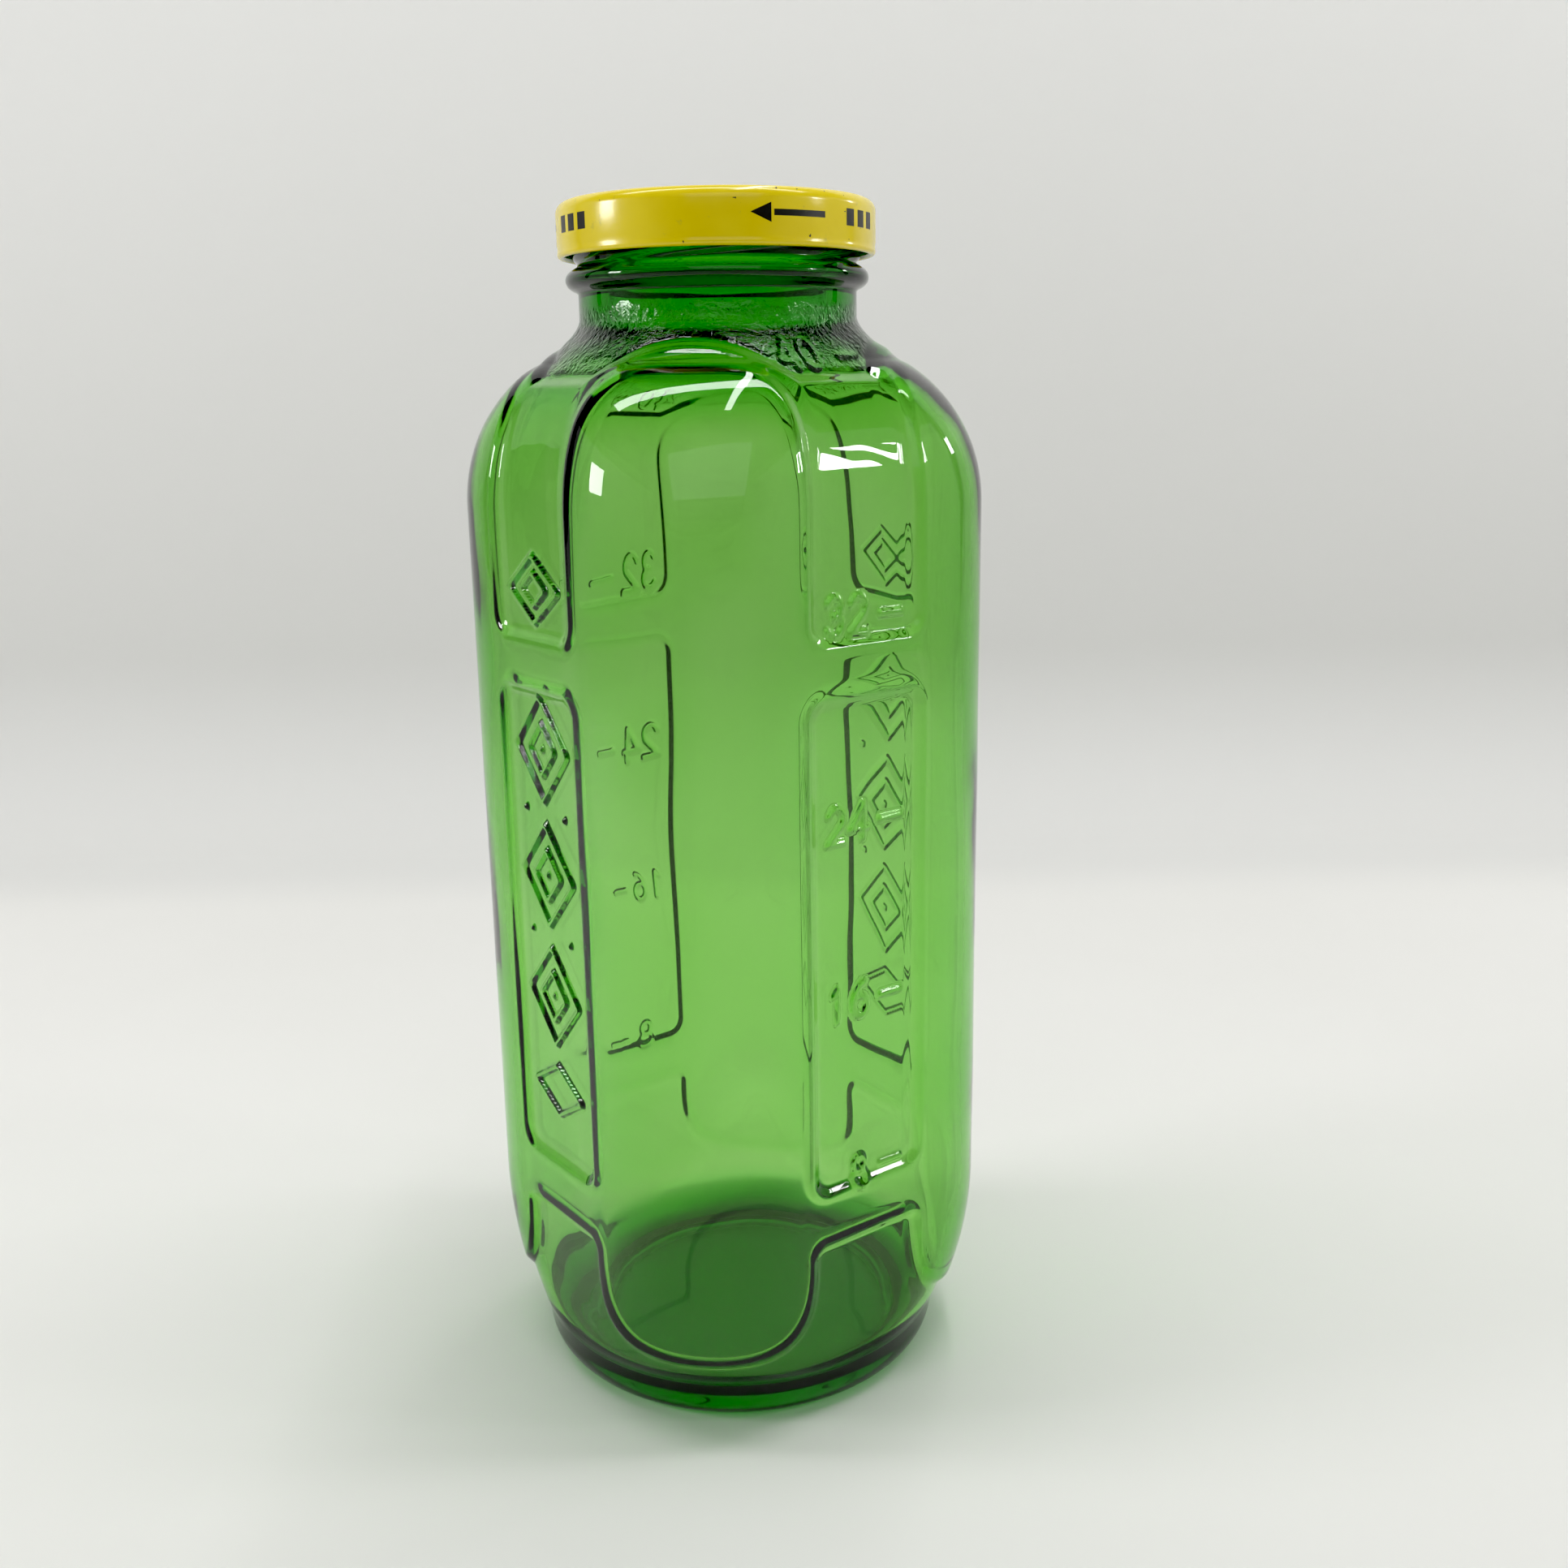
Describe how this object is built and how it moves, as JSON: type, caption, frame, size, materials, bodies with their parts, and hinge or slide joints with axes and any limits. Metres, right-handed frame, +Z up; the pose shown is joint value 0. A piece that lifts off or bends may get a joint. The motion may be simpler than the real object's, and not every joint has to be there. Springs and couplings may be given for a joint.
{
  "type": "glass bottle with twist cap",
  "caption": "Empty green glass refrigerator bottle, rounded square in plan with arched lobes and sunk side panels, closed by a shallow yellow metal twist cap.",
  "frame": {"origin": "on the bottle's axis, in the plane that it stands on", "axes": "+Z up along the bottle's axis, -Y towards the viewer of the front lobe, +X to the viewer's right"},
  "size_m": [0.1042, 0.1042, 0.2413],
  "materials": {
    "green_glass": "clear emerald green pressed glass",
    "yellow_lacquer": "glossy yellow lacquer on tinplate, lightly chipped and rubbed"
  },
  "bodies": {
    "root": {"bottle": "green_glass", "cap": "yellow_lacquer"}
  },
  "joints": []
}
